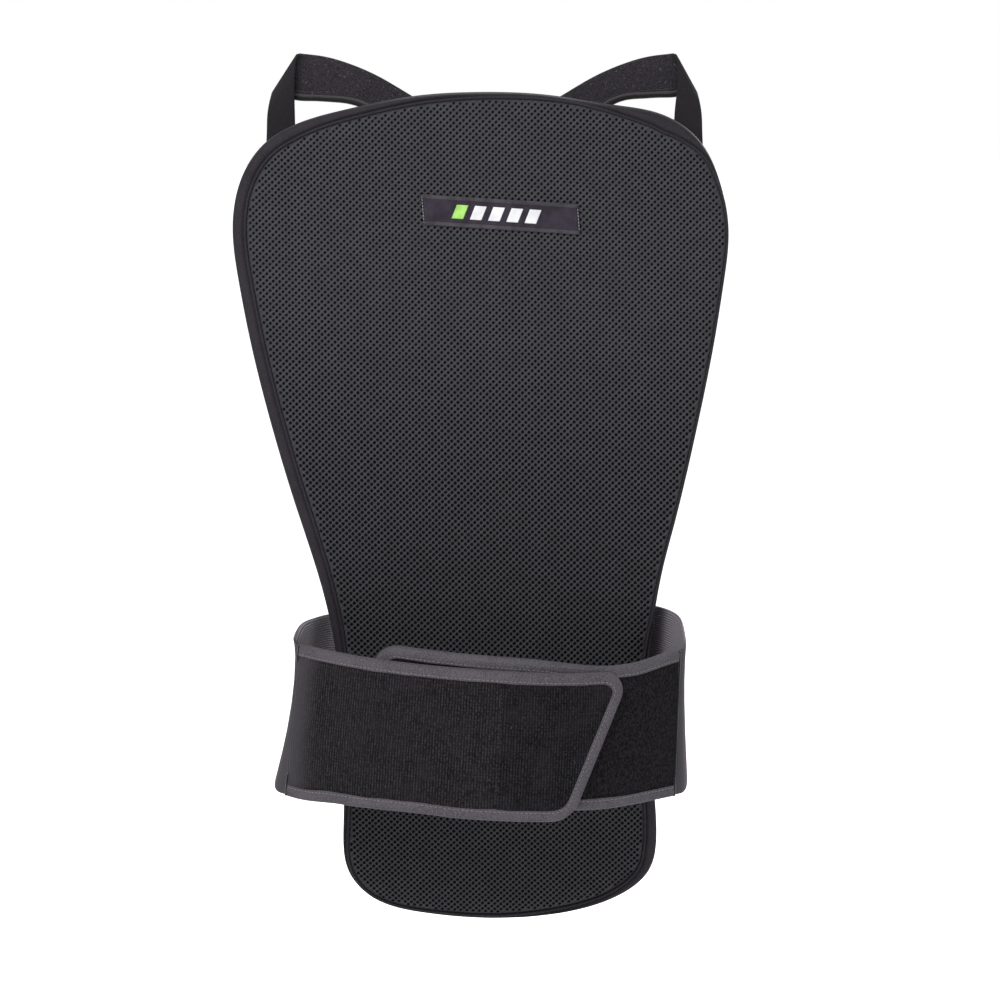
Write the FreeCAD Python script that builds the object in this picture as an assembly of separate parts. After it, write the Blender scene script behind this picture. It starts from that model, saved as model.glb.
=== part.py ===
import FreeCAD, Part
import math
import os

# Worn-on-the-back spine protector: a padded panel, two folded shoulder straps and a two-wing waist belt.
# Millimetres. +Z is up the wearer's spine, -Y points at the wearer, -X is the wearer's right.
# The origin is on the mesh face, on the midline at mid-height, where the panel meets the spine.

V = FreeCAD.Vector

# ---- panel ----
GAP = 0.1                 # room between stacked layers
MESH_THICK = 3.0
FOAM_THICK = 4.0
INNER_CORE_THICK = 7.0
OUTER_CORE_THICK = 5.5
COVER_THICK = 1.4
COVER_WALL = 2.2
MESH_INSET = 9.0          # from the panel's outline to the mesh's edge
PIPING_INSET = 2.6        # from the panel's outline to the piping's outer edge
PIPING_PROUD = 0.8
VENT_RADIUS = 4.0
VENT_PITCH_X = 34.0
VENT_PITCH_Z = 36.0

SWAY_MIDDLE = 1.6
SWAY_REACH = 6.0
SWAY_Z = -35.0
SWAY_LENGTH = 150.0

# ---- belt ----
BELT_TOP = -74.5
BELT_HEIGHT = 90.0
BELT_REAR_TOP = -72.0     # where the belt leaves the panel
BELT_REAR_TILT = 3.5      # how much higher than that it leaves it on the wearer's left
BELT_MIDDLE = BELT_TOP - BELT_HEIGHT / 2
OUTER_ROLL = 3.0          # degrees: each closed wing hangs lower on the wearer's left
INNER_ROLL = 4.4
FLARE = 3.5               # degrees: each wing widens downwards, to follow the hips
ARC_CENTRE_Y = 79.0       # centre of the arc that both wings lie on, seen from above
OUTER_RADIUS = 167.0      # at the belt's top edge
INNER_RADIUS = 161.2
OUTER_DROP = 9.4          # how much lower than the belt's top edge each wing is closed
INNER_DROP = 0.8
SHELL_THICK = 1.0
WING_FOAM_THICK = 2.3
LINING_THICK = 0.6
BINDING_THICK = 0.6
BINDING_WIDTH = 9.0
OUTER_SEAM = 43.3         # from the belt's middle to each wing's seam, in degrees
INNER_SEAM = 45.0
OUTER_REACH = 84.5        # from the midline to the outer wing's furthest point
INNER_REACH = 75.0
TIP_SLANT = 31.5          # how far a wing's end leans back at its bottom edge
TIP_CORNER = 12.0
PEEL_ANGLE = 2.7          # where the outer wing's tip bends away
JOINT_GAP = 0.3
ELASTIC_THICK = 1.6
HIP_TOP = {-1: 115.8, 1: 120.3}       # each side elastic's half-width at the hips
HIP_BOTTOM = {-1: 127.5, 1: 121.5}
ELASTIC_LIFT = 1.3        # room behind the rear cover for the straps' loop patches
SEAM_GAP = 0.6            # between a side elastic's sewn end and its wing
HOOK_THICK = 0.8

# ---- straps ----
PAD_THICK = 4.0
STRAP_THICK = 1.6
STRAP_WIDTH = 17.0
PAD_HINGE_Z = 234.0       # where a shoulder pad leaves the rear cover
HINGE_Z = 236.0           # where the hanging part of a strap bends
HINGE_Y = 43.0

# ---- label ----
LABEL_X = 8.6
LABEL_Z = 175.4
LABEL_HALF_LENGTH = 47.5
LABEL_HALF_HEIGHT = 9.7
LABEL_TILT = 3.7          # degrees, lower towards the wearer's left
BAR_COUNT = 5
BAR_FIRST_LEFT = -30.0    # from the label's centre to the first bar's left edge
BAR_PITCH = 11.0
BAR_WIDTH = 7.0
BAR_HALF_HEIGHT = 4.2
BAR_LEAN = 4.0            # how far each bar's top edge is moved sideways


def spine(z):
    """Depth of the mesh face at height z: back at the shoulders, forward at the waist, out over the hips."""
    point = SPINE_CURVE.intersect(Part.LineSegment(V(0, -300, z), V(0, 300, z)))
    return point[0].Y


def spine_curve():
    heights = [300, 250, 200, 130, 60, 0, -60, -130, -200, -260, -310]
    depths = [7.5, 9.5, 10.5, 6.5, 1.5, 0.0, 2.5, 10.0, 22.0, 36.0, 50.0]
    curve = Part.BSplineCurve()
    curve.interpolate([V(0, y, z) for y, z in zip(depths, heights)])
    return curve


SPINE_CURVE = spine_curve()
FAR = 400.0


def slab(near, far):
    """Everything between two copies of the spine curve, moved back by near and far."""
    front = SPINE_CURVE.toShape()
    front.translate(V(0, near, 0))
    back = SPINE_CURVE.toShape()
    back.translate(V(0, far, 0))
    ends = [
        Part.makeLine(front.Vertexes[i].Point, back.Vertexes[i].Point) for i in (0, 1)
    ]
    face = Part.Face(Part.Wire(Part.__sortEdges__([front, ends[0], back, ends[1]])))
    body = face.extrude(V(FAR, 0, 0))
    body.translate(V(-FAR / 2, 0, 0))
    return body


def prism(wire):
    """A flat XZ outline, carried along Y."""
    body = Part.Face(wire).extrude(V(0, 2 * FAR, 0))
    body.translate(V(0, -FAR, 0))
    return body


def layer(near, far, wire):
    return slab(near, far).common(prism(wire))


def sway(z):
    """The worn panel's lean: its head sits towards the wearer's right, its tail towards the left."""
    return SWAY_MIDDLE - SWAY_REACH * math.tanh((z - SWAY_Z) / SWAY_LENGTH)


def panel_outline(inset=0.0):
    """The panel seen from the front: broad shoulders, a waist, a round tail."""
    side = [
        (42, 245.3), (80, 238.8), (108, 231), (131, 217.5), (144.3, 195), (149.5, 167),
        (146.5, 135), (139.5, 95), (129, 47.5), (117, 0), (105.5, -43), (97.8, -85),
        (95, -130), (95.8, -170), (98.2, -212), (95.5, -240), (80, -258.5), (46, -270.3),
    ]
    ring = [(0, 247.6)] + side + [(0, -274)] + [(-x, z) for x, z in reversed(side)]
    ring = [(x + sway(z), z) for x, z in ring]
    moved = []
    for i, (x, z) in enumerate(ring):
        before, after = ring[i - 1], ring[(i + 1) % len(ring)]
        along = V(after[0] - before[0], 0, after[1] - before[1]).normalize()
        moved.append(V(x + along.z * inset, 0, z - along.x * inset))
    curve = Part.BSplineCurve()
    curve.interpolate(moved, PeriodicFlag=True)
    return Part.Wire(curve.toShape())


def rounded(points, radius):
    """A closed polygon in XZ with every corner rounded."""
    edges = []
    count = len(points)
    cuts = []
    for i in range(count):
        before, here, after = points[i - 1], points[i], points[(i + 1) % count]
        a = (before - here).normalize()
        b = (after - here).normalize()
        half = a.getAngle(b) / 2
        back = radius / math.tan(half)
        middle = here + (a + b).normalize() * (radius / math.sin(half) - radius)
        cuts.append((here + a * back, middle, here + b * back))
    for i in range(count):
        start, middle, end = cuts[i]
        edges.append(Part.Arc(start, middle, end).toShape())
        edges.append(Part.makeLine(end, cuts[(i + 1) % count][0]))
    return Part.Wire(edges)


def rectangle(x0, x1, z0, z1, radius=3.0):
    return rounded([V(x0, 0, z0), V(x1, 0, z0), V(x1, 0, z1), V(x0, 0, z1)], radius)


def save(name, *solids):
    shape = solids[0] if len(solids) == 1 else Part.makeCompound(list(solids))
    if shape.ShapeType == "Compound" and len(shape.Solids) == 1:
        shape = shape.Solids[0]
    assert shape.Solids, name + " has no solid"
    for solid in shape.Solids:
        assert solid.isValid() and solid.Volume > 1, name + " is not a sound solid"
    shape.exportStep("parts/" + name + ".step")


def mirrored(shape):
    return shape.mirror(V(0, 0, 0), V(1, 0, 0))


# ---------------------------------------------------------------- panel

MESH_BACK = MESH_THICK
FOAM_BACK = MESH_BACK + FOAM_THICK
INNER_BACK = FOAM_BACK + INNER_CORE_THICK
OUTER_BACK = INNER_BACK + OUTER_CORE_THICK
REAR = OUTER_BACK + GAP + COVER_THICK      # the rear cover's outer face


def vents():
    """Through holes in the inner core, in staggered rows."""
    holes = []
    for row in range(-6, 7):
        z = row * VENT_PITCH_Z
        shift = VENT_PITCH_X / 2 if row % 2 else 0.0
        for column in range(-4, 5):
            x = column * VENT_PITCH_X + shift
            if abs(x) < core_half_width(z) - 3 * VENT_RADIUS:
                holes.append(
                    Part.makeCylinder(VENT_RADIUS, 2 * FAR, V(x, -FAR, z), V(0, 1, 0))
                )
    return holes


def core_half_width(z):
    """A straight-sided guess at the panel's half-width, for placing vents."""
    waist_z = -66.0
    waist = 100.0
    if z < waist_z:
        return waist - 8
    return waist + (z - waist_z) * 0.2


def build_panel():
    core_outline = panel_outline(COVER_WALL + 0.4)
    save("mesh_liner", layer(0, MESH_THICK, panel_outline(MESH_INSET)))
    save("liner_foam", layer(MESH_BACK + GAP, FOAM_BACK, core_outline))
    inner = layer(FOAM_BACK + GAP, INNER_BACK, core_outline)
    for hole in vents():
        inner = inner.cut(hole)
    save("impact_core_perforated", inner)
    save("impact_core_solid", layer(INNER_BACK + GAP, OUTER_BACK, core_outline))

    tray = layer(MESH_BACK + GAP, REAR, panel_outline())
    tray = tray.cut(layer(0, OUTER_BACK + GAP, panel_outline(COVER_WALL)))
    save("rear_cover", tray)

    ring = layer(-PIPING_PROUD, MESH_BACK, panel_outline(PIPING_INSET))
    ring = ring.cut(prism(panel_outline(MESH_INSET - 0.2)))
    save("edge_piping", ring)


def on_label(x, z):
    """A point of the label, from its own centre, turned by the label's tilt."""
    turn = math.radians(LABEL_TILT)
    return V(
        LABEL_X + x * math.cos(turn) + z * math.sin(turn),
        0,
        LABEL_Z - x * math.sin(turn) + z * math.cos(turn),
    )


def build_label():
    """A woven label on the mesh, with a row of plain slanted bars."""
    label_back = -0.15
    label_front = -0.85
    long, high = LABEL_HALF_LENGTH, LABEL_HALF_HEIGHT
    corners = [(-long, -high), (long, -high), (long, high), (-long, high)]
    outline = rounded([on_label(x, z) for x, z in corners], 1.0)
    save("label_patch", layer(label_front, label_back, outline))
    bars = []
    bar_low, bar_high = -BAR_HALF_HEIGHT, BAR_HALF_HEIGHT
    for i in range(BAR_COUNT):
        left = BAR_FIRST_LEFT + BAR_PITCH * i
        right = left + BAR_WIDTH
        corners = [
            (left, bar_low), (right, bar_low), (right + BAR_LEAN, bar_high),
            (left + BAR_LEAN, bar_high),
        ]
        outline = rounded([on_label(x, z) for x, z in corners], 0.8)
        bars.append(layer(label_front - 0.4, label_front - 0.02, outline))
    save("label_first_bar", bars[0])
    save("label_bars", *bars[1:])


def build_rear_patches():
    """What is sewn on the rear cover: the spine pad, and each strap's and belt side's patches."""
    pad = [
        V(-34, 0, -62), V(34, 0, -62), V(46, 0, 60), V(40, 0, 196), V(-40, 0, 196),
        V(-46, 0, 60),
    ]
    save("spine_pad", layer(REAR + 0.05, REAR + 5.0, rounded(pad, 16.0)))

    loop = rounded(
        [V(-112, 0, 42), V(-87, 0, 42), V(-73, 0, -64), V(-97, 0, -64)], 4.0
    )
    patch = layer(REAR + 0.05, REAR + 1.0, loop)
    save("right_strap_loop_patch", patch)
    save("left_strap_loop_patch", mirrored(patch))

    anchor = rounded([V(-43, 0, 201), V(-4, 0, 226), V(-13, 0, 236), V(-52, 0, 213)], 3.0)
    return layer(REAR + 5.0, REAR + 6.2, anchor)


# ---------------------------------------------------------------- ribbons


def ribbon(stations, thick):
    """A flat band through pairs of edge points, thick mm thick, half on each side."""
    normals = []
    for i, (a, b) in enumerate(stations):
        before = stations[max(i - 1, 0)]
        after = stations[min(i + 1, len(stations) - 1)]
        along = (after[0] + after[1]) - (before[0] + before[1])
        normals.append((b - a).cross(along).normalize())
    sections = []
    for (a, b), n in zip(stations, normals):
        half = n * (thick / 2)
        sections.append(
            Part.makePolygon([a - half, b - half, b + half, a + half, a - half])
        )
    return Part.makeLoft(sections, True, True)


def strap_rest(z, x_inner, x_outer, lift):
    """A pair of strap edges that lie against the rear cover at height z."""
    return (V(x_inner, spine(z) + REAR + lift, z), V(x_outer, spine(z) + REAR + lift, z))


def pad_stations():
    """The padded part: from its sewn end on the rear cover, up over the panel's top edge, to the fold."""
    lift = REAR + PAD_THICK / 2 + 0.6
    sewn = [
        (V(-8, spine(203) + lift, 224), V(-40, spine(203) + lift, 204)),
        (V(-28, spine(230) + lift, 242), V(-58, spine(230) + lift, 226)),
    ]
    free = [
        (V(-46, 41, 246.8), V(-74, 40, 237.8)),
        (V(-64, 44, 256.8), V(-84, 43, 240.8)),
        (V(-84, 46, 264.8), V(-95, 46, 241.8)),
        (V(-101, 48, 268.3), V(-106, 48, 242.3)),
        (V(-109, 48.5, 269.3), V(-115, 49, 242.6)),
        (V(-113.5, 46.5, 269.8), V(-126, 50, 245.8)),
    ]
    return sewn + free


def fold_stations():
    """The band from the fold down to where it bends, coming forward as it turns flat to the back."""
    low = HINGE_Z + JOINT_GAP / 2
    return [
        (V(-115.2, 42.5, 268.5), V(-129.2, 48, 247)),
        (V(-116.2, 41.6, 262), V(-131, 46, 244)),
        (V(-116.6, 42, 250), V(-132, 44, 240.5)),
        (V(-116.6, HINGE_Y, low), V(-133, HINGE_Y, low)),
    ]


def drop_stations():
    """The hanging part: from the bend, down the back of the panel, to its end at the waist."""
    low = HINGE_Z - JOINT_GAP / 2
    edges = [
        (V(-116.6, HINGE_Y, low), V(-133, HINGE_Y, low)),
        (V(-116.4, 42.6, 224), V(-133.2, 42.6, 224)),
        (V(-115, 39, 203), V(-132, 39, 203)),
    ]
    lift = 2.6
    half = STRAP_WIDTH / 2
    for z in (170, 130, 90, 50, 10, -25, -58):
        middle = -86.5 - (z + 58) * 0.137
        edges.append(strap_rest(z, middle + half, middle - half, lift))
    return edges


def half_space(z, above):
    block = Part.makeBox(2 * FAR, 2 * FAR, FAR, V(-FAR, -FAR, z if above else z - FAR))
    return block


def build_straps():
    patch = build_rear_patches()
    whole = ribbon(pad_stations(), PAD_THICK)
    pad = whole.common(half_space(PAD_HINGE_Z + JOINT_GAP / 2, above=True))
    sewn = whole.common(half_space(PAD_HINGE_Z - JOINT_GAP / 2, above=False))
    fold = ribbon(fold_stations(), STRAP_THICK)
    drop = ribbon(drop_stations(), STRAP_THICK)
    tab_outline = rounded(
        [V(-105, 0, 24), V(-90.5, 0, 24), V(-79.5, 0, -56), V(-94, 0, -56)], 3.0
    )
    tab = layer(REAR + 1.1, REAR + 1.7, tab_outline)
    trim_edge = [
        (b + (a - b) * 0.05 + V(0, -0.4, 0), b + (a - b) * 0.22 + V(0, -0.4, 0))
        for a, b in pad_stations()[2:-1]
    ]
    trim = ribbon([(a + V(0, -2.6, 0), b + V(0, -2.6, 0)) for a, b in trim_edge], 1.0)
    for side, place in (("right", lambda s: s), ("left", mirrored)):
        save(side + "_strap_pad", place(pad))
        save(side + "_strap_pad_sewn_end", place(sewn))
        save(side + "_strap_edge_trim", place(trim))
        save(side + "_strap_fold", place(fold))
        save(side + "_strap_elastic", place(drop))
        save(side + "_strap_hook_tab", place(tab))
        save(side + "_strap_anchor_patch", place(patch))


# ---------------------------------------------------------------- belt


def rolled(thing, roll):
    """A closed wing's small roll about the front-to-back axis."""
    pivot = V(0, 0, BELT_MIDDLE)
    turn = FreeCAD.Rotation(V(0, 1, 0), roll)
    if isinstance(thing, FreeCAD.Vector):
        return pivot + turn.multVec(thing - pivot)
    return thing.rotated(pivot, V(0, 1, 0), roll)


def belt_point(radius, angle, z):
    """A point on a wing's cone: radius is the one at the belt's top edge."""
    reach = radius + (BELT_TOP - z) * math.tan(math.radians(FLARE))
    turn = math.radians(angle)
    return V(reach * math.sin(turn), ARC_CENTRE_Y - reach * math.cos(turn), z)


def arc_band(inner, outer, start, end, low, high):
    """A conical wall between two radii, from angle start to end, seen from above."""
    corners = [
        belt_point(inner, start, low), belt_point(outer, start, low),
        belt_point(outer, start, high), belt_point(inner, start, high),
    ]
    profile = Part.Face(Part.makePolygon(corners + corners[:1]))
    return profile.revolve(V(0, ARC_CENTRE_Y, 0), V(0, 0, 1), end - start)


def wing_outline(grow, top, reach):
    """A wing seen from the front, open past its seam: a slanted end with round corners."""
    tip = reach + grow
    bottom = top - BELT_HEIGHT
    far = -250.0
    return rounded(
        [
            V(far, 0, bottom - grow), V(tip - TIP_SLANT, 0, bottom - grow),
            V(tip, 0, top + grow), V(far, 0, top + grow),
        ],
        max(TIP_CORNER + grow, 2.0),
    )


def wing(outer_radius, start, end, top, reach):
    """Shell, foam, lining and binding of one stretch of a wing, as solids."""
    shell_in = outer_radius - SHELL_THICK
    foam_out = shell_in - GAP
    foam_in = foam_out - WING_FOAM_THICK
    lining_out = foam_in - GAP
    lining_in = lining_out - LINING_THICK
    low, high = top - BELT_HEIGHT - 10, top + 10
    body = prism(wing_outline(0.0, top, reach))
    layers = [
        arc_band(a, b, start, end, low, high).common(body)
        for a, b in (
            (shell_in, outer_radius), (foam_in, foam_out), (lining_in, lining_out),
        )
    ]
    skin = GAP + BINDING_THICK
    binding = arc_band(lining_in - skin, outer_radius + skin, start, end, low, high)
    binding = binding.common(prism(wing_outline(skin, top, reach)))
    inside = arc_band(lining_in - GAP, outer_radius + GAP, start - 1, end + 1, low, high)
    inside = inside.common(prism(wing_outline(GAP, top, reach)))
    open_face = prism(wing_outline(-BINDING_WIDTH, top, reach))
    return layers + [binding.cut(inside).cut(open_face)]


def save_wing(name, pieces):
    for kind, solid in zip(("shell", "foam", "lining", "binding"), pieces):
        save(name + "_" + kind, *solid.Solids)


def build_wings():
    gap = math.degrees(JOINT_GAP / 2 / OUTER_RADIUS)
    outer_top = BELT_TOP - OUTER_DROP
    inner_top = BELT_TOP - INNER_DROP
    past = 45.0
    base = wing(OUTER_RADIUS, -OUTER_SEAM + gap, PEEL_ANGLE - gap, outer_top, OUTER_REACH)
    tip = wing(OUTER_RADIUS, PEEL_ANGLE + gap, past, outer_top, OUTER_REACH)
    inner = wing(INNER_RADIUS, -INNER_SEAM + gap, past, inner_top, INNER_REACH)
    save_wing("outer_wing", [rolled(solid, OUTER_ROLL) for solid in base])
    save_wing("outer_tip", [rolled(solid, OUTER_ROLL) for solid in tip])
    save_wing("inner_wing", [rolled(mirrored(solid), INNER_ROLL) for solid in inner])

    lining_in = OUTER_RADIUS - SHELL_THICK - WING_FOAM_THICK - LINING_THICK - 2 * GAP
    hook = arc_band(
        lining_in - GAP - HOOK_THICK, lining_in - GAP, PEEL_ANGLE + 1.5, past,
        outer_top - BELT_HEIGHT, outer_top,
    ).common(prism(wing_outline(-BINDING_WIDTH - 2, outer_top, OUTER_REACH)))
    save("outer_tip_hook_patch", rolled(hook, OUTER_ROLL))


def rear_top(side):
    """The height of the belt's top edge where it is sewn on the rear cover."""
    return BELT_REAR_TOP + side * BELT_REAR_TILT


def side_elastic_stations(side, seam, seam_angle):
    """From behind the panel, out and forward round the hip, to the wing's seam."""
    high, low = rear_top(side), rear_top(side) - BELT_HEIGHT
    turn = math.radians(seam_angle)
    back = V(side * math.cos(turn), math.sin(turn), 0) * SEAM_GAP
    rear = REAR + ELASTIC_LIFT + ELASTIC_THICK / 2
    edges = []
    for z, hip, end in ((high, HIP_TOP[side], seam[0]), (low, HIP_BOTTOM[side], seam[1])):
        behind = spine(z) + rear
        lean = sway(z)
        edges.append([
            V(side * 93, behind, z),
            V(side * 102 + lean, behind - 1, z),
            V(side * 107 + lean, behind - 8, z - 1),
            V(side * (hip - 1), 3, z + (end.z - z) * 0.4),
            V(side * hip, -20, z + (end.z - z) * 0.75),
            V((end.x + side * hip) / 2 + side * 2, end.y + 7, end.z),
            end + V(side * 2.4, 2.8, 0),
            end + back,
        ])
    return list(zip(*edges))


def build_side_elastics():
    layers = SHELL_THICK + WING_FOAM_THICK + LINING_THICK
    for name, side, radius, drop, angle, roll in (
        ("right", -1, OUTER_RADIUS, OUTER_DROP, OUTER_SEAM, OUTER_ROLL),
        ("left", 1, INNER_RADIUS, INNER_DROP, INNER_SEAM, INNER_ROLL),
    ):
        top = BELT_TOP - drop
        seam = [
            rolled(belt_point(radius - layers / 2, side * angle, z), roll)
            for z in (top, top - BELT_HEIGHT)
        ]
        free = ribbon(side_elastic_stations(side, seam, angle), ELASTIC_THICK)
        low, high = rear_top(side) - BELT_HEIGHT, rear_top(side)
        elastic_back = REAR + ELASTIC_LIFT + ELASTIC_THICK
        ends = sorted([side * 96, side * 42])
        outline = rectangle(ends[0], ends[1], low + 0.01, high - 0.01, 0.5)
        sewn = layer(REAR + ELASTIC_LIFT, elastic_back, outline)
        save(name + "_side_elastic", free.fuse(sewn))
        ends = sorted([side * 66, side * 36])
        outline = rectangle(ends[0], ends[1], low - 3, high + 3, 3.0)
        patch = layer(elastic_back + 0.2, elastic_back + 1.4, outline)
        save(name + "_belt_anchor_patch", patch)


os.makedirs("parts", exist_ok=True)
build_panel()
build_label()
build_straps()
build_wings()
build_side_elastics()
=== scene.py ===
import math

import bmesh
import bpy
import numpy as np
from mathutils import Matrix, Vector


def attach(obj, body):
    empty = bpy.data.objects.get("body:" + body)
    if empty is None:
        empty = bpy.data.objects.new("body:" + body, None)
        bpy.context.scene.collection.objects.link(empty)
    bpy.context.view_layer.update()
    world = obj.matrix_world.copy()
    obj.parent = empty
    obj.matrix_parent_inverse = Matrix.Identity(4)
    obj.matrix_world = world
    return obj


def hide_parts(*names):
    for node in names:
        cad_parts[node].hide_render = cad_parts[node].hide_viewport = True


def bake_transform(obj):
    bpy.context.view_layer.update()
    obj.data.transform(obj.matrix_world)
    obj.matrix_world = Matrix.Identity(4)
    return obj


# The looks of a soft back protector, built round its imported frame.
# Sizes are in millimetres until a mesh is made.
# +Z is up the wearer's spine and -Y points at the wearer.

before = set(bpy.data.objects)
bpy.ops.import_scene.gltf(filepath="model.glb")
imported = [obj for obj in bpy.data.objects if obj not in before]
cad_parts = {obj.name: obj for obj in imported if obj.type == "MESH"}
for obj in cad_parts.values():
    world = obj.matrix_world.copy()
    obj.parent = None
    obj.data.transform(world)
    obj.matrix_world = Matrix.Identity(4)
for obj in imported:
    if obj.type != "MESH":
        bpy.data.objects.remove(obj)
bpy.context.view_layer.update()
MM = 0.001

# ---- sizes shared with the design ----
BELT_TOP = -74.5
BELT_HEIGHT = 90.0
BELT_MIDDLE = BELT_TOP - BELT_HEIGHT / 2
BELT_REAR_TOP = -72.0
BELT_REAR_TILT = 3.5
FLARE = math.tan(math.radians(3.5))
ARC_CENTRE_Y = 79.0
TIP_SLANT = 31.5
WING_THICK = 4.1
STITCH_INSET = 1.2            # a binding's stitched groove, from the tape's inner edge
HIP_TOP = {-1: 115.8, 1: 120.3}
HIP_BOTTOM = {-1: 127.5, 1: 121.5}
FOLD_LINE = 7.9               # where the outer wing's tip is sewn on, from the midline
LABEL_X, LABEL_Z = 8.6, 175.4
LABEL_TILT = math.radians(3.7)
LABEL_LONG, LABEL_HIGH = 47.3, 9.0
LABEL_SKEW = -0.15            # its ends stand nearly upright although its long edges tilt
HINGE_Z = 236.0
HINGE_Y = 43.0
ELASTIC_THICK = 1.6
PAD_THICK = 4.0
STRAP_WIDTH = 17.0
REAR = 21.0                   # the panel's thickness
COVER_SEAM = 7.0              # the sewn line round its back, from its outline
MIDLINE = -195, 175           # the closing rows of its two faces meet between these heights
BACKWARD = 0, 1.0, 0
FORWARD = 0, -1.0, 0
SIDES = (1, "right"), (-1, "left")
CELL = 3.9, 3.95              # one cell of the knitted net, corner to corner


def sway(z):
    """The worn panel's lean, sideways."""
    return 1.6 - 6.0 * np.tanh((np.asarray(z, float) + 35) / 150)


# ---- curves and meshes ----


def second_slopes(points, spans, closed):
    """The bending moments of a cubic spline through points."""
    count = len(points)
    matrix = np.zeros((count, count))
    right = np.zeros_like(points)
    for i in range(1, count - 1):
        matrix[i, i - 1 : i + 2] = spans[i - 1], 2 * (spans[i - 1] + spans[i]), spans[i]
        right[i] = 6 * (
            (points[i + 1] - points[i]) / spans[i] - (points[i] - points[i - 1]) / spans[i - 1]
        )
    matrix[0, 0] = 1
    matrix[-1, -1] = 1
    if closed:
        matrix[0, -1] = -1
        matrix[-1, :2] += 2 * spans[0], spans[0]
        matrix[-1, -2:] += spans[-1], 2 * spans[-1] - 1
        right[-1] = 6 * (
            (points[1] - points[0]) / spans[0] - (points[-1] - points[-2]) / spans[-1]
        )
    return np.linalg.solve(matrix, right)


def smooth(points, count, closed=False):
    """A cubic spline through points, as evenly spaced samples. A closed one repeats no point."""
    points = np.array(points, float)
    if closed:
        points = looped(points)
    spans = np.linalg.norm(np.diff(points, axis=0), axis=1)
    knots = lengths(points)
    bend = second_slopes(points, spans, closed)
    at = np.linspace(0, knots[-1], 12 * count + 1)
    i = np.clip(np.searchsorted(knots, at, "right") - 1, 0, len(spans) - 1)
    h = spans[i][:, None]
    a = (knots[i + 1] - at)[:, None]
    b = (at - knots[i])[:, None]
    line = (
        bend[i] * a**3 / (6 * h)
        + bend[i + 1] * b**3 / (6 * h)
        + (points[i] / h - bend[i] * h / 6) * a
        + (points[i + 1] / h - bend[i + 1] * h / 6) * b
    )
    return resample(line, count + 1 if closed else count)[: count if closed else None]


def looped(path):
    return np.vstack([path, path[:1]])


def lengths(line):
    return np.concatenate([[0], np.cumsum(np.linalg.norm(np.diff(line, axis=0), axis=1))])


def picked(at, along, values):
    """The values at lengths at, from those at lengths along."""
    return np.stack([np.interp(at, along, column) for column in values.T], axis=1)


def resample(line, count):
    along = lengths(line)
    return picked(np.linspace(0, along[-1], count), along, line)


def pairs_of(a, b):
    return np.stack(np.broadcast_arrays(a, b), axis=-1)


def unit(vectors):
    return vectors / np.maximum(np.linalg.norm(vectors, axis=-1, keepdims=True), 1e-9)


def ease(x, start, end):
    """0 up to start, 1 from end on, smooth between."""
    share = np.clip((x - start) / (end - start), 0, 1)
    return share * share * (3 - 2 * share)


def hump(x, middle, width):
    """1 at middle, falling to nothing over about width to either side."""
    return np.exp(-(((x - middle) / width) ** 2))


def quads(rows, columns, closed=False):
    """The faces between rings of points. A closed one joins its last ring to its first."""
    rings = np.arange(rows if closed else rows - 1)
    i, j = np.meshgrid(rings, np.arange(columns), indexing="ij")
    below = ((i + 1) % rows) * columns
    right = (j + 1) % columns
    faces = np.stack([i * columns + j, i * columns + right, below + right, below + j], axis=-1)
    return faces.reshape(-1, 4).tolist()


def sleeve(rows, columns):
    """The faces between rings of points, and one at each end."""
    last = rows * columns
    return quads(rows, columns) + [list(range(columns)), list(range(last - columns, last))]


def linked(name, data):
    made = bpy.data.objects.new(name, data)
    bpy.context.scene.collection.objects.link(made)
    return made


def piece(name, points, faces, material, cloth=None):
    """A mesh from points in mm. cloth is each point's place on the flat fabric, in mm."""
    mesh = bpy.data.meshes.new(name)
    mesh.from_pydata((np.asarray(points, float).reshape(-1, 3) * MM).tolist(), [], faces)
    if cloth is not None:
        layer = mesh.uv_layers.new(name="cloth")
        corner = np.zeros(len(mesh.loops), np.int32)
        mesh.loops.foreach_get("vertex_index", corner)
        flat = np.asarray(cloth, float).reshape(-1, 2)[corner] / 100
        layer.data.foreach_set("uv", flat.ravel())
    mesh.shade_smooth()
    made = linked(name, mesh)
    mesh.materials.append(material)
    return made


def merged(made, distance=0.02, sliver=None):
    """Joins points that lie together, drops edges under sliver mm and turns every face outwards."""
    work = bmesh.new()
    work.from_mesh(made.data)
    bmesh.ops.remove_doubles(work, verts=work.verts, dist=distance * MM)
    if sliver:
        bmesh.ops.dissolve_degenerate(work, edges=work.edges, dist=sliver * MM)
    bmesh.ops.recalc_face_normals(work, faces=work.faces)
    work.to_mesh(made.data)
    work.free()
    return made


def wander(points, size, period, seed):
    """A smooth random offset for each point, about size mm, that changes over about period mm."""
    random = np.random.default_rng(seed)
    total = np.zeros(len(points))
    for share in (1.0, 0.6, 0.4):
        wave = random.normal(size=(3, 3)) * (2 * math.pi / period) * (0.6 + 0.8 * share)
        phase = random.uniform(0, 2 * math.pi, 3)
        total += share * np.sin(points @ wave.T + phase).sum(axis=1) / 3
    return size * total


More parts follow.
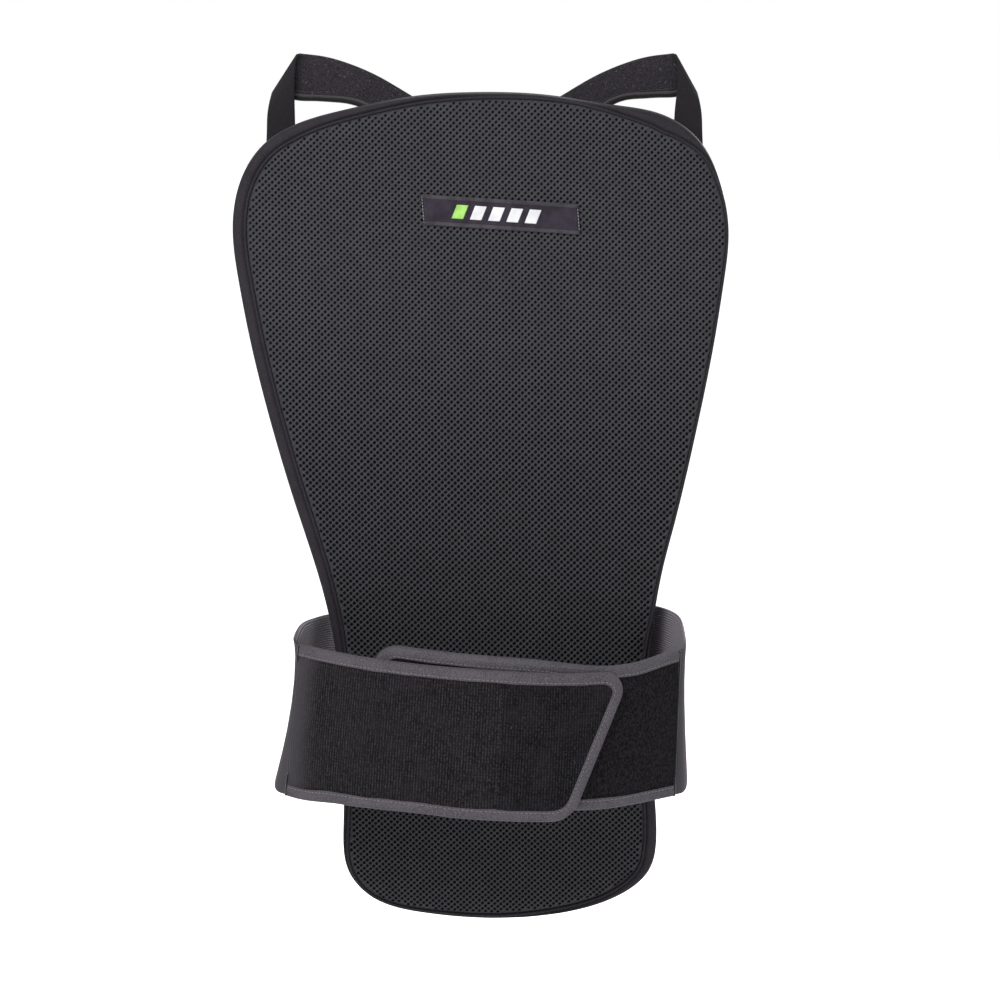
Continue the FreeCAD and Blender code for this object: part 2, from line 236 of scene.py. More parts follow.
def tube(name, line, radius, material, closed=False, sides=8):
    """A round cord along line."""
    ahead = np.roll(line, -1, axis=0)
    behind = np.roll(line, 1, axis=0)
    if not closed:
        ahead[-1], behind[0] = line[-1], line[0]
    along = unit(ahead - behind)
    side = unit(np.cross(along, np.array([0.0, 1.0, 0.02])))
    lift = np.cross(side, along)
    turn = np.arange(sides) * 2 * math.pi / sides
    rings = (
        line[:, None]
        + radius * np.cos(turn)[None, :, None] * side[:, None]
        + radius * np.sin(turn)[None, :, None] * lift[:, None]
    )
    cloth = pairs_of(lengths(line)[:, None], radius * turn[None, :])
    faces = quads(len(line), sides, True) if closed else sleeve(len(line), sides)
    return merged(piece(name, rings, faces, material, cloth))


SECTION = [
    (-1, 0), (-0.985, 0.62), (-0.94, 0.93), (-0.8, 1), (-0.5, 1), (-0.2, 1), (0.2, 1), (0.5, 1),
    (0.8, 1), (0.94, 0.93), (0.985, 0.62), (1, 0), (0.985, -0.62), (0.94, -0.93), (0.8, -1),
    (0.5, -1), (0.2, -1), (-0.2, -1), (-0.5, -1), (-0.8, -1), (-0.94, -0.93), (-0.985, -0.62),
]


def band(name, stations, thick, material, rings=60, crown=0.0, bow=None):
    """A flat band through pairs of edge points, with rounded edges. crown swells its middle.

    bow gives the sideways shift at a share of its length and a share of its width.
    """
    pairs = np.hstack([smooth([s[k] for s in stations], 6 * rings) for k in (0, 1)])
    pairs = resample(pairs, rings)
    inner, outer = pairs[:, :3], pairs[:, 3:]
    middle = (inner + outer) / 2
    along = unit(np.gradient(middle, axis=0))
    normal = unit(np.cross(outer - inner, along))
    across, lift = np.array(SECTION).T
    lift = lift * (1 + crown * (1 - across**2))
    points = (
        middle[:, None]
        + (outer - inner)[:, None] / 2 * across[None, :, None]
        + normal[:, None] * (thick / 2) * lift[None, :, None]
    )
    if bow:
        points[..., 0] += bow(np.linspace(0, 1, rings)[:, None], (1 + across[None, :]) / 2)
    half = np.linalg.norm(outer - inner, axis=1) / 2
    cloth = pairs_of(lengths(middle)[:, None], half[:, None] * across[None, :])
    faces = sleeve(rings, len(SECTION))
    return merged(piece(name, points, faces, material, cloth), 0.005)


def stitches(name, line, out, material, pitch=3.0, length=1.9, width=0.5):
    """A row of stitches along line, each a small rounded bar lying on the surface that faces out."""
    along = lengths(line)
    at = np.arange(pitch / 2, along[-1], pitch)
    centre = picked(at, along, line)
    heading = unit(picked(at, along, np.gradient(line, along, axis=0)))
    face = unit(picked(at, along, np.broadcast_to(np.asarray(out, float), line.shape)))
    side = unit(np.cross(heading, face))
    template, faces = [], []
    for reach, size in ((-0.5, 0.35), (-0.3, 1), (0.3, 1), (0.5, 0.35)):
        for angle in np.arange(6) * math.pi / 3:
            wide, high = math.cos(angle), math.sin(angle)
            template.append((reach * length, size * width / 2 * wide, size * width / 2 * high))
    template = np.array(template)[None, :, :, None]
    points = (
        centre[:, None]
        + template[:, :, 0] * heading[:, None]
        + template[:, :, 1] * side[:, None]
        + template[:, :, 2] * face[:, None]
    )
    single = sleeve(4, 6)
    for first in range(0, 24 * len(at), 24):
        faces += [[first + v for v in one] for one in single]
    return merged(piece(name, points, faces, material), 0.001)


def joined(name, made):
    """Several pieces as one, named name."""
    first = made[0]
    with bpy.context.temp_override(
        active_object=first, selected_editable_objects=made, selected_objects=made
    ):
        if len(made) > 1:
            bpy.ops.object.join()
    first.name = name
    first.data.name = name
    return first


# ---- materials ----


STUDIO = 0.444                # the share of its look on screen that a fabric has under no lamp


def grey(red, green, blue):
    """A colour as it looks on screen, 0 to 255, as the linear colour that it needs in this studio."""
    linear = []
    for value in (red, green, blue):
        value /= 255
        value = value / 12.92 if value <= 0.04045 else ((value + 0.055) / 1.055) ** 2.4
        linear.append(STUDIO * value)
    return (*linear, 1.0)


def set_inputs(node, values):
    for key, value in values.items():
        node.inputs[key].default_value = value


class Fabric:
    """A fabric's node graph, with short ways to add to it."""

    def __init__(self, name, tone, roughness, sheen):
        self.tone = tone
        self.material = bpy.data.materials.new(name)
        self.material.use_nodes = True
        self.tree = self.material.node_tree
        self.shader = self.tree.nodes["Principled BSDF"]
        set_inputs(self.shader, {
            "Roughness": roughness, "Specular IOR Level": 0.06, "Sheen Weight": sheen,
            "Sheen Roughness": 0.4,
        })
        self.place = self.add("ShaderNodeTexCoord").outputs["Object"]
        cloth = self.add("ShaderNodeUVMap", uv_map="cloth").outputs["UV"]
        split = self.add("ShaderNodeSeparateXYZ", {"Vector": cloth})
        self.along = self.maths("MULTIPLY", split.outputs["X"], 100.0)
        self.across = self.maths("MULTIPLY", split.outputs["Y"], 100.0)

    def add(self, kind, inputs=None, **settings):
        node = self.tree.nodes.new(kind)
        for key, value in settings.items():
            setattr(node, key, value)
        for key, value in (inputs or {}).items():
            self.feed(node.inputs[key], value)
        return node

    def feed(self, socket, value):
        if isinstance(value, bpy.types.NodeSocket):
            self.tree.links.new(value, socket)
        else:
            socket.default_value = value

    def maths(self, operation, a, b=0.0, c=0.0):
        return self.add("ShaderNodeMath", {0: a, 1: b, 2: c}, operation=operation).outputs[0]

    def times(self, a, b):
        return self.maths("MULTIPLY", a, b)

    def mix(self, share, a, b):
        """a where share is 0, b where it is 1. Three numbers are a colour as it looks on screen."""
        a, b = [grey(*c) if isinstance(c, tuple) and len(c) == 3 else c for c in (a, b)]
        node = self.add("ShaderNodeMix", {0: share, 6: a, 7: b}, data_type="RGBA")
        return node.outputs[2]

    def dye(self, colour, value, low=None, high=None):
        """Turns the tone so far to colour where value is high."""
        share = value if low is None else self.steps(value, low, high)
        self.tone = self.mix(share, self.tone, colour)

    def noise(self, size, detail=2.0, stretch=(1, 1, 1)):
        """Noise whose blotches are about size mm across."""
        scaled = self.add("ShaderNodeMapping", {"Vector": self.place, "Scale": stretch})
        node = self.add(
            "ShaderNodeTexNoise",
            {"Vector": scaled.outputs[0], "Scale": 1 / (size * MM), "Detail": detail},
        )
        return node.outputs["Fac"]

    def steps(self, value, low, high):
        """0 below low, 1 above high, smooth between."""
        node = self.add(
            "ShaderNodeMapRange",
            {"Value": value, "From Min": low, "From Max": high},
            interpolation_type="SMOOTHSTEP",
        )
        return node.outputs[0]

    def ribs(self, coordinate, pitch):
        """A ridge every pitch mm along coordinate, from 0 in a groove to 1 on a ridge."""
        turns = self.maths("MULTIPLY", coordinate, 2 * math.pi / pitch)
        return self.maths("MULTIPLY_ADD", self.maths("SINE", turns), 0.5, 0.5)

    def bump(self, height, depth, strength=1.0):
        """Relief of depth mm."""
        node = self.add(
            "ShaderNodeBump", {"Height": height, "Distance": depth * MM, "Strength": strength}
        )
        if self.shader.inputs["Normal"].is_linked:
            self.feed(node.inputs["Normal"], self.shader.inputs["Normal"].links[0].from_socket)
        self.feed(self.shader.inputs["Normal"], node.outputs[0])

    def done(self):
        self.feed(self.shader.inputs["Base Color"], self.tone)
        return self.material


def knit_mesh():
    fabric = Fabric("spacer_mesh_knit", (74, 74, 78), 0.8, 0.028)
    yarn = fabric.noise(0.45, 3)
    fabric.dye((83, 82, 87), fabric.noise(9), 0.35, 0.65)
    fabric.tone = fabric.mix(fabric.steps(yarn, 0.3, 0.7), (64, 64, 68), fabric.tone)
    # Painted shade: the net is darkened in diagonal stripes, for the threads that lie lower at the
    # crossings and fall in shade.
    cells = fabric.maths(
        "SUBTRACT", fabric.maths("DIVIDE", fabric.along, CELL[0]),
        fabric.maths("DIVIDE", fabric.across, CELL[1]),
    )
    valley_shade = fabric.ribs(fabric.maths("ADD", cells, 0.25), 1.0)
    fabric.dye((42, 42, 45), fabric.times(valley_shade, 0.6))
    fabric.bump(yarn, 0.12)
    return fabric.done()


def backing():
    # Painted shade in part: this near-black tone also stands for the shade deep inside the net's
    # holes.
    fabric = Fabric("mesh_backing_and_hole_shade", (18, 18, 20), 0.95, 0.0)
    fabric.dye((30, 30, 34), fabric.noise(1.2), 0.35, 0.65)
    return fabric.done()


def stretch_cover():
    """Smooth stretch fabric with a very fine diagonal knit."""
    fabric = Fabric("stretch_cover", (40, 37, 42), 0.72, 0.028)
    fine = fabric.noise(0.5, 2, (1, 1, 0.5))
    soft = fabric.noise(14)
    fabric.dye((47, 44, 49), soft, 0.3, 0.7)
    fabric.dye((56, 53, 58), fine, 0.35, 0.75)
    fabric.bump(fine, 0.08)
    fabric.bump(soft, 0.5, 0.4)
    return fabric.done()


def pad_velour():
    """Brushed nylon over foam, with stray bright fibres."""
    fabric = Fabric("strap_pad_velour", (36, 33, 37), 0.9, 0.04)
    fibre = fabric.noise(0.8, 3)
    fabric.dye((60, 56, 62), fibre, 0.3, 0.7)
    fabric.dye((100, 94, 103), fabric.noise(1.3, 4), 0.62, 0.72)
    fabric.bump(fibre, 0.2)
    return fabric.done()


def strap_weave():
    """A dense narrow weave, with faint ribs across the band."""
    fabric = Fabric("strap_weave", (38, 35, 39), 0.85, 0.024)
    ribs = fabric.ribs(fabric.along, 0.9)
    fine = fabric.noise(0.6, 3)
    fabric.dye((46, 43, 47), ribs)
    fabric.dye((54, 50, 55), fine, 0.4, 0.8)
    fabric.bump(ribs, 0.12)
    fabric.bump(fine, 0.1)
    return fabric.done()


def binding_tape():
    """Grey folded tape, a matt plain weave."""
    fabric = Fabric("grey_binding_tape", (74, 71, 76), 0.88, 0.024)
    ribs = fabric.ribs(fabric.along, 1.1)
    fine = fabric.noise(0.8, 3)
    patches = fabric.noise(18)
    fabric.dye((88, 84, 90), patches, 0.3, 0.7)
    fabric.dye((108, 104, 110), fine, 0.35, 0.7)
    fabric.dye((58, 55, 60), fabric.times(ribs, 0.3))
    fabric.bump(ribs, 0.06)
    fabric.bump(fine, 0.15)
    fabric.bump(patches, 0.6, 0.5)
    return fabric.done()


def ribbed_loop():
    """The outer wing's face: upright ribs of loop pile, with a painted highlight towards the seam,
    darker on the tip.
    """
    fabric = Fabric("ribbed_loop_face", None, 0.92, 0.036)
    ribs = fabric.ribs(fabric.along, 1.68)
    loops = fabric.maths("MULTIPLY_ADD", fabric.ribs(fabric.across, 1.9), 0.5, 0.5)
    broken = fabric.noise(0.9, 3, (1, 1, 0.6))
    lit = fabric.times(fabric.times(ribs, fabric.steps(broken, 0.36, 0.62)), loops)
    fabric.tone = fabric.mix(lit, (17, 16, 18), (68, 64, 69))
    fabric.dye(fabric.mix(lit, (11, 10, 12), (58, 54, 59)), fabric.along, 6.5, 10.0)
    worn = fabric.steps(fabric.noise(16), 0.35, 0.75)
    fabric.dye((46, 43, 47), fabric.times(worn, 0.3))
    # Painted highlight: the face is made paler towards the seam end, where the wing turns round the
    # side.
    seam = fabric.maths("SUBTRACT", 1.0, fabric.steps(fabric.along, -125.0, -104.0))
    fabric.dye((76, 72, 78), fabric.times(seam, 0.8))
    specks = fabric.steps(fabric.noise(1.1, 4), 0.68, 0.74)
    fabric.dye((98, 92, 98), fabric.times(specks, 0.7))
    fabric.bump(ribs, 0.35, 0.8)
    fabric.bump(broken, 0.2)
    return fabric.done()


def plain_loop():
    """The inner wing's face: flat black loop pile."""
    fabric = Fabric("plain_loop_face", (10, 9, 11), 0.95, 0.024)
    fibre = fabric.noise(1.1, 4, (1, 1, 0.7))
    fabric.dye((39, 36, 40), fibre, 0.35, 0.68)
    specks = fabric.steps(fabric.noise(1.2, 4), 0.66, 0.74)
    fabric.dye((62, 59, 63), fabric.times(specks, 0.6))
    fabric.bump(fibre, 0.25)
    return fabric.done()


def ribbed_elastic():
    """Grey elastic web with fine ribs along its length, smooth where it nears the wing."""
    fabric = Fabric("ribbed_elastic_web", (102, 98, 104), 0.8, 0.028)
    plain = fabric.steps(fabric.along, 118, 132)
    ribbed = fabric.maths("SUBTRACT", 1.0, plain)
    ribs = fabric.times(fabric.ribs(fabric.across, 1.5), ribbed)
    knots = fabric.times(fabric.ribs(fabric.along, 1.1), ribbed)
    fabric.dye((168, 162, 170), ribs)
    fabric.dye((96, 92, 98), fabric.times(knots, 0.25))
    fabric.dye((72, 69, 74), plain)
    fabric.dye((100, 96, 102), fabric.noise(0.8, 3), 0.5, 0.8)
    fabric.bump(ribs, 0.3)
    fabric.bump(knots, 0.08)
    return fabric.done()


def satin(name, dark, light):
    """Woven label satin: fine threads across a short web."""
    fabric = Fabric(name, dark, 0.55, 0.2)
    threads = fabric.noise(0.35, 2, (0.35, 1, 1))
    fabric.dye(light, fabric.noise(6), 0.3, 0.7)
    fabric.dye(light, fabric.times(threads, 0.25))
    fabric.bump(threads, 0.06)
    return fabric.done()


def grained(name, dark, light, size, detail, relief, roughness=0.95, sheen=0.0):
    """A plain fabric or foam, from dark in its hollows to light on its grain."""
    fabric = Fabric(name, dark, roughness, sheen)
    grain = fabric.noise(size, detail)
    fabric.dye(light, grain)
    fabric.bump(grain, relief)
    return fabric.done()


def thread(name, dark, light):
    return grained(name, dark, light, 0.5, 2, 0.1, 0.6, 0.3)


def hook_tape():
    """Moulded hooks, in rows."""
    fabric = Fabric("hook_tape_rows", (44, 43, 46), 0.5, 0.0)
    dots = fabric.add(
        "ShaderNodeTexVoronoi", {"Vector": fabric.place, "Scale": 1 / (1.1 * MM)}
    ).outputs["Distance"]
    fabric.dye((20, 20, 22), dots)
    fabric.bump(dots, 0.4)
    return fabric.done()


KNIT = knit_mesh()
BACKING = backing()
COVER = stretch_cover()
PAD = pad_velour()
WEAVE = strap_weave()
TAPE = binding_tape()
LOOP = ribbed_loop()
PLAIN = plain_loop()
LINING = grained("brushed_lining", (28, 27, 30), (42, 40, 44), 1.0, 3, 0.25, sheen=0.032)
ELASTIC = ribbed_elastic()
LABEL = satin("label_satin_web", (38, 34, 42), (56, 49, 62))
GREEN = satin("label_green_thread", (140, 200, 92), (178, 232, 120))
WHITE = satin("label_white_thread", (222, 222, 226), (244, 244, 246))
PALE_THREAD = thread("pale_thread", (104, 96, 102), (146, 135, 142))
DARK_THREAD = thread("dark_thread", (34, 32, 35), (58, 55, 60))
FOLD = satin("label_fold_web", (56, 53, 58), (76, 72, 79))
END_THREAD = thread("label_end_thread", (120, 116, 122), (190, 186, 192))
EDGE = thread("strap_edge_cord", (58, 55, 58), (82, 78, 81))
# Dark thread for edges and seams, also used as the painted shadow under the shoulder pads' edges.
DARK_EDGE_AND_SHADOW = thread("dark_edge_and_shadow", (22, 21, 23), (36, 34, 37))
HOOK = hook_tape()
FOAM_LIGHT = grey(112, 114, 118)
FOAM_DARK = *(0.7 * value for value in FOAM_LIGHT[:3]), 1.0
IMPACT_FOAM = grained("impact_foam_cells", FOAM_DARK, FOAM_LIGHT, 0.9, 4, 0.3)


# ---- where things lie ----


def spine_table():
    """The mesh face's depth at each height, found on the back of the rear cover."""
    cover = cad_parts["rear_cover"]
    heights = np.linspace(-266, 242, 128)
    found = []
    for z in heights:
        _, place, _, _ = cover.ray_cast(Vector((0, 0.4, z * MM)), Vector((0, -1, 0)))
        found.append(place.y / MM - REAR)
    slopes = found[1] - found[0], found[-1] - found[-2]
    step = heights[1] - heights[0]
    low, high = found[0] - 10 * slopes[0], found[-1] + 10 * slopes[1]
    heights = np.concatenate([[heights[0] - 10 * step], heights, [heights[-1] + 10 * step]])
    return heights, np.array([low] + found + [high])


SPINE = spine_table()


def spine(z):
    return np.interp(z, SPINE[0], SPINE[1])


def seated(path, depth, lean=1.0):
    """XZ points on the panel, depth mm behind the mesh face. The panel's own parts lean with it."""
    x, z, depth = np.broadcast_arrays(path[..., 0], path[..., 1], depth)
    return np.stack([x + lean * sway(z), spine(z) + depth, z], axis=-1).astype(float)


SIDE = [
    (144.3, 195), (149.5, 167), (146.5, 135), (139.5, 95), (129, 47.5), (117, 0), (105.5, -43),
    (97.8, -85), (95, -130),
]
LEFT = [(42, 244.9), (79.5, 237.4), (107.3, 229.7), (129.8, 216.8)] + SIDE + [
    (94.8, -170), (96.5, -212), (94.3, -240), (80.5, -258.5), (46, -270.3),
]
RIGHT = [(42, 245.8), (80, 240), (110, 234.2), (132.6, 218.4)] + SIDE + [
    (96.8, -170), (99.7, -212), (95.3, -240), (77.5, -257.3), (44, -269.4),
]
RING = [(0, 247.6)] + RIGHT + [(0, -274)] + [(-x, z) for x, z in reversed(LEFT)]
AROUND = 480
OUTLINE = smooth(RING, AROUND, closed=True)


def inward(path, closed=True):
    """Unit normals to the right of a path in the XZ plane."""
    along = np.roll(path, -1, axis=0) - np.roll(path, 1, axis=0)
    if not closed:
        along[0], along[-1] = path[1] - path[0], path[-1] - path[-2]
    along = unit(along)
    return np.stack([along[:, 1], -along[:, 0]], axis=1)


INWARD = inward(OUTLINE)
BEARING = np.degrees(np.arctan2(OUTLINE[:, 1] + 12, OUTLINE[:, 0])) % 360
BORDER = np.interp(
    BEARING,
    [0, 40, 53, 58, 61.5, 65, 69, 73, 77, 90, 101, 109, 116, 125, 140, 180, 215, 235, 250, 270,
     285, 295, 310, 330],
    [1.4, 1.4, 1.6, 3.6, 7.6, 9.8, 7.5, 4.0, 2.4, 3.2, 5, 6, 8.2, 8.4, 8.6, 8.6, 7.5, 6, 2.5, 3.2,
     5.5, 8.4, 5.5, 2.4],
    period=360,
)


def rounded(points, radii, closed=True, steps=8):
    """A polygon with round corners, as a path. radii is one radius, or one for each point."""
    points = [np.array(p, float) for p in points]
    path = []
    for i, here in enumerate(points):
        if not closed and i in (0, len(points) - 1):
            path.append(here)
            continue
        radius = radii[i] if isinstance(radii, tuple) else radii
        before, after = points[i - 1], points[(i + 1) % len(points)]
        a, b = unit(before - here), unit(after - here)
        half = math.acos(np.clip(a @ b, -1, 1)) / 2
        centre = here + unit(a + b) * radius / math.sin(half)
        start, end = here + a * radius / math.tan(half), here + b * radius / math.tan(half)
        first, last = start - centre, end - centre
        whole = math.acos(np.clip(first @ last / radius**2, -1, 1))
        for k in range(steps + 1):
            share = k / steps
            path.append(
                centre
                + (math.sin((1 - share) * whole) * first + math.sin(share * whole) * last)
                / math.sin(whole)
            )
    return np.array(path)


def closed_path(points, radius, count):
    path = rounded(points, radius)
    return resample(looped(path), count + 1)[:-1]


# ---- the panel ----


def inset_by(inset):
    """The panel's outline, drawn in by inset mm."""
    return OUTLINE + INWARD * (inset + 0 * BORDER)[:, None]


def shrunk(edge, shares, depth):
    """Rings from edge in to the panel's midline. depth gives how deep a ring's points lie."""
    target = np.stack([0 * edge[:, 0], np.clip(edge[:, 1], *MIDLINE)], axis=1)
    rings = [edge + (target - edge) * share for share in shares]
    return [seated(ring, depth(ring)) for ring in rings]


def panel_cover():
    """The cover: from the seam beside the mesh, round the edge, over the back to the midline."""
    wide = np.clip((BORDER - 2.6) / 2.0, 0, 1)
    flat_part = np.maximum(BORDER - 2.8, 0.15)
    rows = [
        (BORDER, 1.9), (BORDER - 0.4, 1.75),
        (np.maximum(BORDER - 2.1, 0.2), 1.9 - 0.1 * wide), (flat_part, 2.2 - 1.4 * wide),
        (flat_part * 0.82, 2.4 - 2.0 * wide), (flat_part * 0.5, 2.6 - 2.4 * wide),
        (flat_part * 0.22, 3.0 - 2.0 * wide), (0.12, 3.6 - 1.2 * wide), (0, 4.4), (-0.25, 8.0),
        (-0.3, 12.0), (-0.2, 15.5), (0, 18.2), (0.5, 19.9), (1.9, 20.8), (6.2, REAR),
        (COVER_SEAM, REAR - 0.4), (7.8, REAR), (12, REAR),
    ]
    rings = [seated(inset_by(inset), depth) for inset, depth in rows]
    rings += shrunk(inset_by(12), (0.12, 0.25, 0.4, 0.55, 0.7, 0.85, 1.0), lambda ring: REAR)
    across = np.concatenate([np.arange(len(rows)) * 3, len(rows) * 3 + np.arange(7) * 12])
    cloth = pairs_of(lengths(looped(OUTLINE))[:-1][None, :], across[:, None])
    flat = np.array(rings).reshape(-1, 3)
    ripple = wander(flat, 0.35, 70, 3) + wander(flat, 0.16, 24, 4)
    level = np.repeat(np.clip(np.arange(len(rings)) - 3, 0, 4) / 4.0, AROUND)
    flat[:, 1] += ripple * level
    faces = quads(len(rings), AROUND)
    made = piece("rear_cover_fabric", flat, faces, COVER, cloth)
    merged(made, 0.05)
    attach(made, "panel")
    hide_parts("rear_cover")


def rear_seam():
    """The sewn line that joins the cover's side strip to its back."""
    line = seated(looped(inset_by(COVER_SEAM)), REAR + 0.12)
    row = stitches("rear_cover_seam_stitches", line, BACKWARD, PALE_THREAD, 3.4, 2.2, 0.5)
    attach(row, "panel")


def inside_by(points, ring):
    """How far each XZ point is inside a closed ring, and the nearest point on it."""
    start, end = ring, np.roll(ring, -1, axis=0)
    run = end - start
    size = (run**2).sum(axis=1)
    found, nearest = [], []
    for block in np.array_split(points, max(1, len(points) // 4000)):
        share = ((block[:, None] - start) * run).sum(axis=2) / size
        foot = start + np.clip(share, 0, 1)[..., None] * run
        away = ((block[:, None] - foot) ** 2).sum(axis=2)
        best = away.argmin(axis=1)
        pick = np.arange(len(block))
        side = run[best, 1] * (block[:, 0] - start[best, 0]) - run[best, 0] * (
            block[:, 1] - start[best, 1]
        )
        found.append(np.sqrt(away[pick, best]) * np.sign(side))
        nearest.append(foot[pick, best])
    return np.concatenate(found), np.concatenate(nearest)


def face_depth(points, inset):
    """How far behind the spine curve the mesh lies. It dips to its seam and swells a little."""
    place = np.stack([points[:, 0], 0 * inset, points[:, 1]], axis=1)
    swell = 0.35 * wander(place, 1.0, 90, 8) * np.clip(inset / 20, 0, 1)
    return 2.3 * np.exp(-np.maximum(inset, 0) / 3.0) - 0.15 + swell


def mesh_face():
    """The spacer mesh: a knitted net of small holes, as a lattice of diamond cells."""
    wide, high = CELL
    i, j = np.meshgrid(np.arange(-45, 46), np.arange(-142, 143), indexing="ij")
    i, j = i.ravel(), j.ravel()
    centre = np.stack([(i + 0.5 * (j % 2)) * wide, j * high / 2], axis=1)
    angles = np.arange(8) * math.pi / 4
    turn = np.stack([np.cos(angles), np.sin(angles)], axis=1)
    reach = np.where(np.arange(8) % 2, 0.5 / math.sqrt(2), 0.5)[:, None]
    knots = centre[:, None] + turn * reach * (wide, high)
    size = 1.04 - 0.21 * ease(centre[:, 1], 0, 170)
    bulge = np.where(np.arange(8) % 2, 0.94, 1.1)[:, None]
    rim = centre[:, None] + turn * bulge * (0.97, 1.04) * size[:, None, None]
    raised = np.array([0, 0.28, 0, -0.28, 0, 0.28, 0, -0.28])

    def placed(flat):
        """The knit lies a little askew: its rows fall to the right, its columns lean less."""
        x, z = flat[..., 0], flat[..., 1]
        column = x + 0.018 * z + 1.0 * np.sin(z / 70)
        row = z - 0.072 * x + 0.8 * np.sin(x / 45) - 12
        return np.stack([column, row], axis=-1)

    ring = inset_by(BORDER + 0.2)
    middle_in, _ = inside_by(placed(centre), ring)
    near = middle_in > -3.0
    knots, rim, middle_in = knots[near], rim[near], middle_in[near]
    whole = middle_in > 1.3
    net = [knots.reshape(-1, 2), rim[whole].reshape(-1, 2)]
    flat = placed(net[0])
    knot_in, foot = inside_by(flat, ring)
    flat = np.where(knot_in[:, None] < 0, foot, flat)
    some_in = (knot_in.reshape(-1, 8) > 0.05).any(axis=1)
    knot_in = np.maximum(knot_in, 0)
    ridge = np.tile(raised, len(middle_in)) * np.clip(knot_in / 3, 0, 1)
    rim_flat = placed(net[1])
    rim_in, _ = inside_by(rim_flat, ring)
    points = np.vstack([
        seated(flat, face_depth(flat, knot_in) + ridge),
        seated(rim_flat, face_depth(rim_flat, rim_in) + 0.45),
    ])
    first = len(flat)
    faces = []
    number = -1
    for k in range(len(middle_in)):
        outer = [8 * k + n for n in range(8)]
        if not whole[k]:
            if some_in[k]:
                faces.append(outer[::-1])
            continue
        number += 1
        inner = [first + 8 * number + n for n in range(8)]
        for n in range(8):
            m = (n + 1) % 8
            faces.append([outer[n], inner[n], inner[m], outer[m]])
    made = piece("mesh_liner_knit", points, faces, KNIT, np.vstack(net))
    merged(made, 0.03, 0.02)
    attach(made, "panel")
    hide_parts("mesh_liner")
    return made


def mesh_backing():
    """The inner knit behind the holes, near black partly in its own colour and partly as painted shade
    inside the holes.
    """
    ring = inset_by(BORDER - 0.6)

    def behind(xz):
        return face_depth(xz, np.abs(inside_by(xz, ring)[0])) + 1.5

    shares = (0, 0.02, 0.06, 0.12, 0.2, 0.35, 0.5, 0.65, 0.8, 1.0)
    rows = shrunk(ring, shares, behind)
    made = piece("mesh_liner_backing", rows, quads(len(rows), AROUND), BACKING)
    merged(made, 0.05)
    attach(made, "panel")
    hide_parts("liner_foam")


def piping():
    """A corded edge beside the mesh."""
    line = seated(inset_by(BORDER - 0.9), 0.9)
    cord = tube("edge_piping_cord", line, 0.75, COVER, closed=True)
    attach(cord, "panel")
    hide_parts("edge_piping")


# ---- the label ----


def on_label(x, z):
    x, z = np.broadcast_arrays(np.asarray(x, float), np.asarray(z, float))
    x = x + LABEL_SKEW * z
    cos, sin = math.cos(LABEL_TILT), math.sin(LABEL_TILT)
    return np.stack([LABEL_X + x * cos + z * sin, LABEL_Z - x * sin + z * cos], axis=-1)


def label_band(name, middle, half, long, depth, thick, material):
    """A flat strip along the label, half mm to either side of a height on it."""
    stations = []
    for x in np.linspace(-long, long, 9):
        behind = depth + 0.12 * math.sin(x / 13)
        stations.append([seated(on_label(x, middle + way * half), behind, 0) for way in (1, -1)])
    return band(name, stations, thick, material, 40)


def label():
    patch = label_band("label_web", 0, LABEL_HIGH - 0.8, LABEL_LONG, -0.7, 0.7, LABEL)
    folds = [
        label_band("label_fold", side * (LABEL_HIGH - 1.1), 1.1, LABEL_LONG - 0.2, -0.85, 1.0, FOLD)
        for side in (-1, 1)
    ]
    fold = joined("label_folded_edges", folds)
    ends = []
    heights = np.linspace(-LABEL_HIGH + 0.6, LABEL_HIGH - 0.6, 30)
    for side in (-1, 1):
        for inset, colour, weight in ((0.4, END_THREAD, 0.4), (2.2, DARK_EDGE_AND_SHADOW, 0.5)):
            line = seated(on_label(side * (LABEL_LONG - inset), heights), -1.15, 0)
            ends.append(stitches("label_end", line, FORWARD, colour, 1.9, 1.3, weight))
    end = joined("label_end_stitches", ends)
    bars = []
    for left in (-30.0, -19.0, -8.0, 3.0, 14.0):
        stations = []
        for share in np.linspace(0, 1, 9):
            ends_at = left + 4.0 * share + np.array([0.0, 7.0])
            stations.append(tuple(seated(on_label(ends_at, -4.2 + 8.4 * share), -1.2, 0)))
        bars.append(band("label_bar", stations, 0.5, WHITE if bars else GREEN, 14, 0.3))
    first = joined("label_first_bar_thread", bars[:1])
    rest = joined("label_bars_thread", bars[1:])
    for made in (patch, fold, end, first, rest):
        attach(made, "panel")
    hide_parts("label_patch")
    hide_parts("label_first_bar")
    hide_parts("label_bars")


# ---- patches on the rear ----


